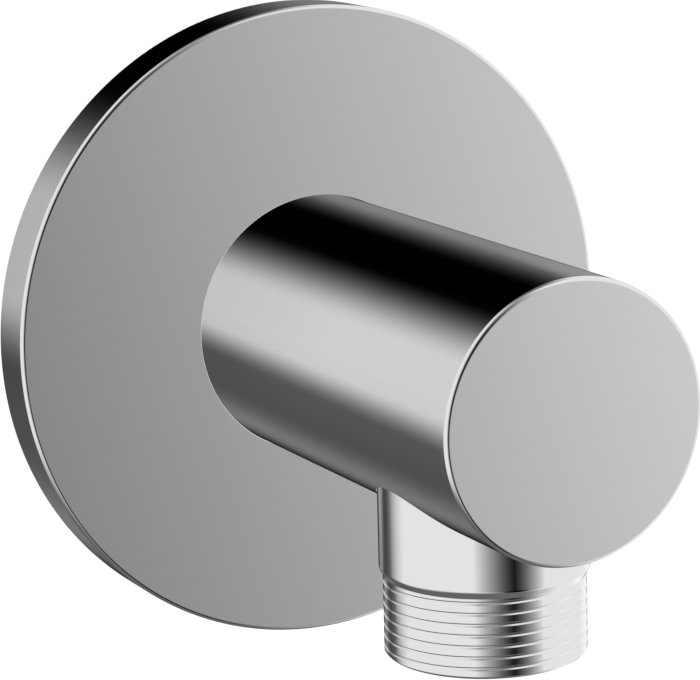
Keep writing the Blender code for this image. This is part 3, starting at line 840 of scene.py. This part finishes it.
def makeGasket():
    low, high = boxOf("wall_gasket")
    outer, top, bend = high[0], -low[1], gasketSizes["bend"]
    inner = collarRadius + gasketSizes["collarGap"]
    outline = makeOutline([(outer, top, bend), (outer, 0.0, bend), (inner, 0.0, bend), (inner, top, bend)])
    addTurned("foamGasket", outline, wallLine, gasketSizes["steps"], "wall_gasket", foam)


makeGasket()
print("inlet, screw, rings and gasket made")

housingSizes = {
    "radius": 6.6, "ringRadius": 5.4, "ringWidth": 1.8, "ringFromTop": 2.0, "lip": 4.9,
    "lipHeight": 1.0, "chamber": 5.6, "seat": 3.8, "seatFromTop": 4.1, "cone": 1.2, "steps": 180,
}


def makeHousing():
    sizes = housingSizes
    low, high = boxOf("valve_housing")
    bottom, top, radius = low[2], high[2], sizes["radius"]
    outline = makeOutline([
        (radius, top, full),
        *groove(radius, sizes["ringRadius"], top - sizes["ringFromTop"], sizes["ringWidth"]),
        (radius, bottom, full),
        (sizes["lip"], bottom, middling),
        (sizes["lip"], bottom + sizes["lipHeight"], fine),
        (sizes["chamber"], bottom + sizes["lipHeight"], fine),
        (sizes["chamber"], top - sizes["seatFromTop"] - sizes["cone"], soft),
        (sizes["seat"], top - sizes["seatFromTop"], soft),
        (sizes["seat"], top, soft),
    ])
    addTurned(
        "valveHousing", outline, outletLine, sizes["steps"],
        "valve_housing", housingPlastic,
    )


makeHousing()

poppetSizes = {
    "cap": 3.0, "capHeight": 0.8, "nose": 2.2, "head": 4.9, "headHeight": 1.2, "stem": 1.1,
    "sealGap": 0.1, "sealBend": 0.35, "steps": 128,
}


def makePoppet():
    sizes = poppetSizes
    low, high = boxOf("valve_poppet")
    sealLow, sealHigh = boxOf("valve_poppet_seal")
    capTop, tip = high[2], low[2]
    headTop = sealLow[2] - sizes["sealGap"]
    outline = makeOutline([
        (0.0, capTop),
        (sizes["cap"], capTop, soft),
        (sizes["cap"], capTop - sizes["capHeight"], crisp),
        (sizes["nose"], capTop - sizes["capHeight"], crisp),
        (sizes["nose"], headTop, crisp),
        (sizes["head"], headTop, fine),
        (sizes["head"], headTop - sizes["headHeight"], soft),
        (sizes["stem"], headTop - sizes["headHeight"], small),
        (sizes["stem"], tip, full),
        (0.0, tip),
    ], closed=False)
    addTurned(
        "valvePoppet", outline, outletLine, sizes["steps"],
        "valve_poppet", valvePlastic, "poppet",
    )
    outer, inner = sealHigh[0], sizes["nose"] + sizes["sealGap"]
    seal = makeOutline([
        (outer, sealHigh[2], sizes["sealBend"]), (outer, sealLow[2], small),
        (inner, sealLow[2], crisp), (inner, sealHigh[2], crisp),
    ])
    addTurned(
        "poppetSeal", seal, outletLine, sizes["steps"], "valve_poppet_seal", rubber, "poppet",
    )


makePoppet()

cageSizes = {
    "ringHeight": 1.3, "ringWall": 0.8, "hub": 2.4, "hubHole": 1.3, "spokes": 3, "spokeWidth": 1.2,
    "spokeStart": 30.0, "rooted": 0.4,  # a spoke's ends reach this far into the ring and the hub
    "steps": 128,
}


# Spokes round a line
def makeCageTree():
    tree, given, result = newTree("cageSpokes", [
        "First spoke", "Middle", "Length", "Width", "Thickness", "Height",
    ], ["Spokes"])
    line = addNode("GeometryNodeMeshLine", {"Count": given["Spokes"]}).outputs[0]
    number = tree.nodes.new("GeometryNodeInputIndex").outputs[0]
    step = calc("DIVIDE", 2 * math.pi, given["Spokes"])
    angle = calc("MULTIPLY_ADD", number, step, given["First spoke"])
    places = aroundLine(given["Middle"], angle, given["Height"])
    size = joinPlace(given["Length"], given["Width"], given["Thickness"])
    spoke = addNode("GeometryNodeMeshCube", {"Size": size}).outputs["Mesh"]
    spokes = addNode("GeometryNodeInstanceOnPoints", {
        "Points": movePoints(line, places), "Instance": spoke,
        "Rotation": joinPlace(0.0, 0.0, angle),
    }).outputs[0]
    endTree(standOn(spokes, given), given, result)
    return tree


def makeCage():
    sizes = cageSizes
    low, high = boxOf("valve_cage")
    outer, bottom, top = high[0], low[2], high[2]
    ringTop, ringInner = bottom + sizes["ringHeight"], high[0] - sizes["ringWall"]
    ring = makeOutline([
        (outer, ringTop, fine), (outer, bottom, soft),
        (ringInner, bottom, middling), (ringInner, ringTop, middling),
    ])
    hub = makeOutline([
        (sizes["hub"], top, small), (sizes["hub"], bottom, soft),
        (sizes["hubHole"], bottom, fine), (sizes["hubHole"], top, fine),
    ])
    bm = bmesh.new()
    bm.from_mesh(turnedMesh("cageRing", ring, outletLine, sizes["steps"]))
    bm.from_mesh(turnedMesh("cageHub", hub, outletLine, sizes["steps"]))
    blank = bpy.data.meshes.new("cageBlank")
    bm.to_mesh(blank)
    bm.free()
    inner, far = sizes["hub"] - sizes["rooted"], ringInner + sizes["rooted"]
    spokes = runTree(makeCageTree(), bpy.data.meshes.new("spokeBlank"), outletLine, {
        "Spokes": sizes["spokes"], "First spoke": math.radians(sizes["spokeStart"]),
        "Middle": (inner + far) / 2 * mm, "Length": (far - inner) * mm,
        "Width": sizes["spokeWidth"] * mm, "Thickness": sizes["ringHeight"] / 2 * mm,
        "Height": (bottom + sizes["ringHeight"] / 2) * mm, "Material": housingPlastic,
    })
    mesh = cutAway(blank, [spokes], "UNION")
    dressNormals(mesh, [(ring, outletLine, 1), (hub, outletLine, 1)])
    addPiece("valveCage", mesh, "valve_cage", housingPlastic)


makeCage()

springSizes = {"radius": 2.1, "wire": 0.225, "turns": 3.5, "perTurn": 48, "wireSides": 16}


# A round wire wound up a line
def makeSpringTree():
    tree, given, result = newTree("woundSpring", [
        "Coil radius", "Wire radius", "Turns", "Bottom", "Top",
    ], ["Points", "Wire sides"])
    line = tree.nodes.new("GeometryNodeCurvePrimitiveLine").outputs[0]
    points = addNode("GeometryNodeResampleCurve", {"Curve": line, "Count": given["Points"]})
    share = tree.nodes.new("GeometryNodeSplineParameter").outputs["Factor"]
    angle = calc("MULTIPLY", calc("MULTIPLY", share, given["Turns"]), 2 * math.pi)
    climb = calc("MULTIPLY", share, calc("SUBTRACT", given["Top"], given["Bottom"]))
    height = calc("ADD", given["Bottom"], climb)
    places = aroundLine(given["Coil radius"], angle, height)
    wire = addNode("GeometryNodeCurvePrimitiveCircle", {
        "Resolution": given["Wire sides"], "Radius": given["Wire radius"],
    }).outputs[0]
    body = addNode("GeometryNodeCurveToMesh", {
        "Curve": movePoints(points.outputs[0], places), "Profile Curve": wire, "Fill Caps": True,
    }).outputs[0]
    endTree(standOn(body, given), given, result)
    return tree


def makeSpring():
    sizes = springSizes
    low, high = boxOf("valve_spring")
    mesh = runTree(makeSpringTree(), bpy.data.meshes.new("springBlank"), outletLine, {
        "Coil radius": sizes["radius"] * mm, "Wire radius": sizes["wire"] * mm, "Turns": sizes["turns"],
        "Bottom": (low[2] + sizes["wire"]) * mm, "Top": (high[2] - sizes["wire"]) * mm,
        "Points": round(sizes["turns"] * sizes["perTurn"]) + 1, "Wire sides": sizes["wireSides"],
        "Material": springSteel,
    })
    mesh.shade_smooth()
    mesh.set_sharp_from_angle(angle=sharpAngle)
    spring = addPiece("steelSpring", mesh, "valve_spring", springSteel)
    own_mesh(spring)


makeSpring()
print("valve made")

# Camera: where the photographer stood, and how the camera was held
cameraSizes = {
    "place": (-150.519, -312.744, 72.772), "heading": 26.7224, "tilt": -12.3602, "roll": -1.4276,
    "lens": 162.922, "sensor": 36.0, "clip": (0.01, 20.0),
}


def makeCamera():
    sizes = cameraSizes
    heading, tilt, roll = [math.radians(sizes[name]) for name in ("heading", "tilt", "roll")]
    ahead = np.array([
        math.sin(heading) * math.cos(tilt), math.cos(heading) * math.cos(tilt), math.sin(tilt),
    ])
    level = np.array([math.cos(heading), -math.sin(heading), 0.0])
    upright = np.cross(level, ahead)
    right = level * math.cos(roll) + upright * math.sin(roll)
    up = np.cross(right, ahead)
    matrix = Matrix.Identity(4)
    for row in range(3):
        matrix[row][0], matrix[row][1], matrix[row][2] = right[row], up[row], -ahead[row]
        matrix[row][3] = sizes["place"][row] * mm
    data = bpy.data.cameras.new("photoCamera")
    data.lens, data.sensor_width = sizes["lens"], sizes["sensor"]
    data.clip_start, data.clip_end = sizes["clip"]
    camera = bpy.data.objects.new("photoCamera", data)
    bpy.context.scene.collection.objects.link(camera)
    camera.matrix_world = matrix
    bpy.context.scene.camera = camera


makeCamera()


# Studio. The camera sees white. Polished metal mirrors a long white room that runs along the wall
# axis: a grey floor and ceiling, a dark slot in front and a dark screen before the end behind the
# wall. Everything else gets plain soft light. Tones run from 0 to 255, and a ramp's stops are
# (degrees, tone), with a smooth rise or fall between two of them. Slopes are (start, span).
studio = {
    "soft": 0.62, "edgeGain": 1.03,  # polished metal mirrors a little more at its edges
    # the slot, by the bearing off its middle as seen from the object, which leans with the height
    "slotBearing": 3.0, "slotLean": 0.3, "slotDark": 34, "slotLeft": 50.0, "slotRight": 41.0,
    "level": -17.5, "deepening": 0.8, "deepHalf": 18.0, "deepAfter": 12.0,
    "slotFoot": (-76.0, 24.0), "slotTop": (80.0, -20.0),
    "slotLowest": (4, 120), "lowestRise": (15.0, 35.0),
    # the room by height: grey floor, white walls, grey ceiling
    "byHeight": [(-58, 100), (-27, 229), (54, 229), (83, 135)],
    # and near the end by the way round the wall axis, from the right over the top
    "byTurn": [(-148, 229), (-120, 96), (-68, 96), (-46, 229), (57, 229), (75, 80), (85, 85), (109, 229)],
    "turnUntil": 60.0, "heightFrom": 100.0, "rightGain": 0.24, "gainUntil": 76.0, "gainSpan": 32.0,
    "rightFull": 0.5, "lowFull": -0.25, "floorDrop": 18.0,  # the right has a lower grey floor
    # the screen round the wall axis: white left, grey floor, dark stripe, grey right, black top
    "endAngle": 29.0,
    "end": [(-172, 205), (-140, 85), (-112, 80), (-75, 112), (-30, 20), (-2, 122), (10, 122), (66, 0),
            (84, 0), (146, 207)],
    "deepAngle": 22.5,
    "deep": [(-172, 170), (-142, 68), (-115, 76), (-75, 114), (-30, 20), (0, 88), (8, 88), (50, 0),
             (92, 0), (150, 172)],
    "backTone": 196, "backUntil": 9.0, "backSpan": 10.0,
    "openFrom": 31.0, "openSpan": 24.0,  # where the screen gives way to the room
    "darkDelay": 3.0, "darkBelow": 0.16,  # where the screen is nearly black it reaches further
}


gamma = 2.2  # a tone to this power is its light


def addRamp(value, stops, reach):
    share = calc("DIVIDE", calc("ADD", value, reach), 2 * reach)
    node = addNode("ShaderNodeValToRGB", {"Fac": share})
    ramp = node.color_ramp
    ramp.interpolation = "EASE"
    while len(ramp.elements) > 1:
        ramp.elements.remove(ramp.elements[-1])
    for number, (degrees, tone) in enumerate(stops):
        position = (degrees + reach) / (2 * reach)
        element = ramp.elements[0] if number == 0 else ramp.elements.new(position)
        element.position = position
        element.color = (tone / 255,) * 3 + (1.0,)
    return toLight(node.outputs["Color"])


def toLight(tone):
    return calc("POWER", tone, gamma)


def between(value, one, two):
    return addNode("ShaderNodeMix", {0: value, 2: one, 3: two}).outputs[0]


# From 0 where the value is at the start to 1 a span further on
def rise(value, start, span):
    return clamped(calc("DIVIDE", calc("SUBTRACT", value, start), span))


# The light in the dark slot
def slotLight(x, y, elevation):
    bearing = calc("DEGREES", calc("ARCTAN2", x, calc("MULTIPLY", y, -1.0)))
    above = calc("SUBTRACT", elevation, studio["level"])
    off = calc("SUBTRACT", bearing, studio["slotBearing"])
    off = calc("MULTIPLY_ADD", above, studio["slotLean"], off)
    distance = calc("ABSOLUTE", off)
    half = between(calc("GREATER_THAN", off, 0.0), studio["slotLeft"], studio["slotRight"])
    pale = clamped(calc("DIVIDE", distance, half))
    tone = between(pale, studio["slotDark"] / 255, 1.0)
    middle = rise(distance, studio["deepHalf"], -studio["deepHalf"])
    lift = rise(calc("ABSOLUTE", above), 0.0, studio["deepAfter"])
    deeper = calc("MULTIPLY", calc("MULTIPLY", middle, lift), -studio["deepening"])
    tone = calc("MULTIPLY", tone, calc("ADD", deeper, 1.0))
    low, high = [value / 255 for value in studio["slotLowest"]]
    lowest = between(rise(elevation, *studio["lowestRise"]), low, high)
    light = toLight(calc("MAXIMUM", tone, lowest))
    foot, top = [rise(elevation, *studio[name]) for name in ("slotFoot", "slotTop")]
    return between(calc("MULTIPLY", foot, top), 1.0, light)


def makeStudio():
    world = bpy.data.worlds.new("paleStudio")
    bpy.context.scene.world = world
    world.use_nodes = True
    tree = world.node_tree
    tree.nodes.clear()
    x, y, z = splitPlace(tree.nodes.new("ShaderNodeTexCoord").outputs["Generated"])
    turn = calc("DEGREES", calc("ARCTAN2", z, x))
    off = calc("DEGREES", calc("ARCCOSINE", y))
    elevation = calc("DEGREES", calc("ARCSINE", z))
    byTurn, end, deep = [addRamp(turn, studio[name], 180.0) for name in ("byTurn", "end", "deep")]
    right = rise(x, 0.0, studio["rightFull"])
    drop = calc("MULTIPLY", right, rise(z, 0.0, studio["lowFull"]))
    height = calc("MULTIPLY_ADD", drop, studio["floorDrop"], elevation)
    byHeight = addRamp(height, studio["byHeight"], 90.0)
    turnSpan = studio["heightFrom"] - studio["turnUntil"]
    room = between(rise(off, studio["turnUntil"], turnSpan), byTurn, byHeight)
    right = calc("MULTIPLY", right, rise(off, studio["gainUntil"], -studio["gainSpan"]))
    gain = calc("MULTIPLY_ADD", right, studio["rightGain"], 1.0)
    room = calc("MULTIPLY", room, gain)
    depth = rise(off, studio["deepAngle"], studio["endAngle"] - studio["deepAngle"])
    screen = between(depth, deep, end)
    back = (studio["backTone"] / 255) ** gamma
    screen = between(rise(off, studio["backUntil"], studio["backSpan"]), back, screen)
    pale = clamped(calc("DIVIDE", end, studio["darkBelow"]))
    delay = calc("MULTIPLY", calc("SUBTRACT", pale, 1.0), studio["darkDelay"])
    opening = rise(calc("ADD", off, delay), studio["openFrom"], studio["openSpan"])
    walls = between(opening, screen, room)
    seen = calc("MINIMUM", walls, slotLight(x, y, elevation))
    seen = calc("DIVIDE", seen, chromeLook["tone"] * studio["edgeGain"])

    path = tree.nodes.new("ShaderNodeLightPath").outputs
    mirror = calc("MAXIMUM", path["Is Glossy Ray"], path["Is Transmission Ray"])
    light = between(mirror, studio["soft"], seen)
    light = between(path["Is Camera Ray"], light, 1.0)
    inputs = {"Color": (1.0, 1.0, 1.0, 1.0), "Strength": light}
    background = addNode("ShaderNodeBackground", inputs).outputs[0]
    addNode("ShaderNodeOutputWorld", {"Surface": background})


makeStudio()

floorLook = {
    "height": -0.75, "half": 6.0, "colour": 0.5, "cloud": 0.01, "cloudSize": 300.0, "roughness": 0.9,
    "glow": 0.72,
}


def makeFloor():
    half, height = floorLook["half"], floorLook["height"]
    mesh = bpy.data.meshes.new("studioFloor")
    corners = [(-half, -half), (half, -half), (half, half), (-half, half)]
    mesh.from_pydata([(x, y, height) for x, y in corners], [], [(0, 1, 2, 3)])
    floor = addObject("studioFloor", mesh)
    pale, paler = [floorLook["colour"]] * 3, [floorLook["colour"] + floorLook["cloud"]] * 3
    material, tree, shader, coordinates = newFinish("paleFloor", pale, floorLook["roughness"], 0.0)
    cloud = addNoise(coordinates, floorLook["cloudSize"])
    tree.links.new(addBlend(cloud, pale, paler), shader.inputs["Base Color"])
    shader.inputs["Specular IOR Level"].default_value = 0.0
    shader.inputs["Emission Color"].default_value = (1.0, 1.0, 1.0, 1.0)
    path = tree.nodes.new("ShaderNodeLightPath").outputs
    glow = calc("MULTIPLY", path["Is Camera Ray"], floorLook["glow"])
    tree.links.new(glow, shader.inputs["Emission Strength"])
    mesh.materials.append(material)
    floor.visible_glossy = False


makeFloor()

lamps = {
    "keyLamp": {"place": (-0.9, -1.1, 1.3), "size": 1.4, "power": 12.0},
    "fillLamp": {"place": (1.3, -0.9, 0.5), "size": 1.6, "power": 5.0},
    "backLamp": {"place": (0.2, 1.5, 1.1), "size": 1.6, "power": 6.0},
}


def makeLamps():
    for name, sizes in lamps.items():
        data = bpy.data.lights.new(name, "AREA")
        data.shape = "SQUARE"
        data.size = sizes["size"]
        data.energy = sizes["power"]
        lamp = bpy.data.objects.new(name, data)
        bpy.context.scene.collection.objects.link(lamp)
        place = Vector(sizes["place"])
        turn = (-place).to_track_quat("-Z", "Y")
        lamp.matrix_world = Matrix.Translation(place) @ turn.to_matrix().to_4x4()
        lamp.visible_glossy = False
        lamp.visible_camera = False


makeLamps()
bpy.context.scene.view_settings.view_transform = "Standard"
print("studio made")

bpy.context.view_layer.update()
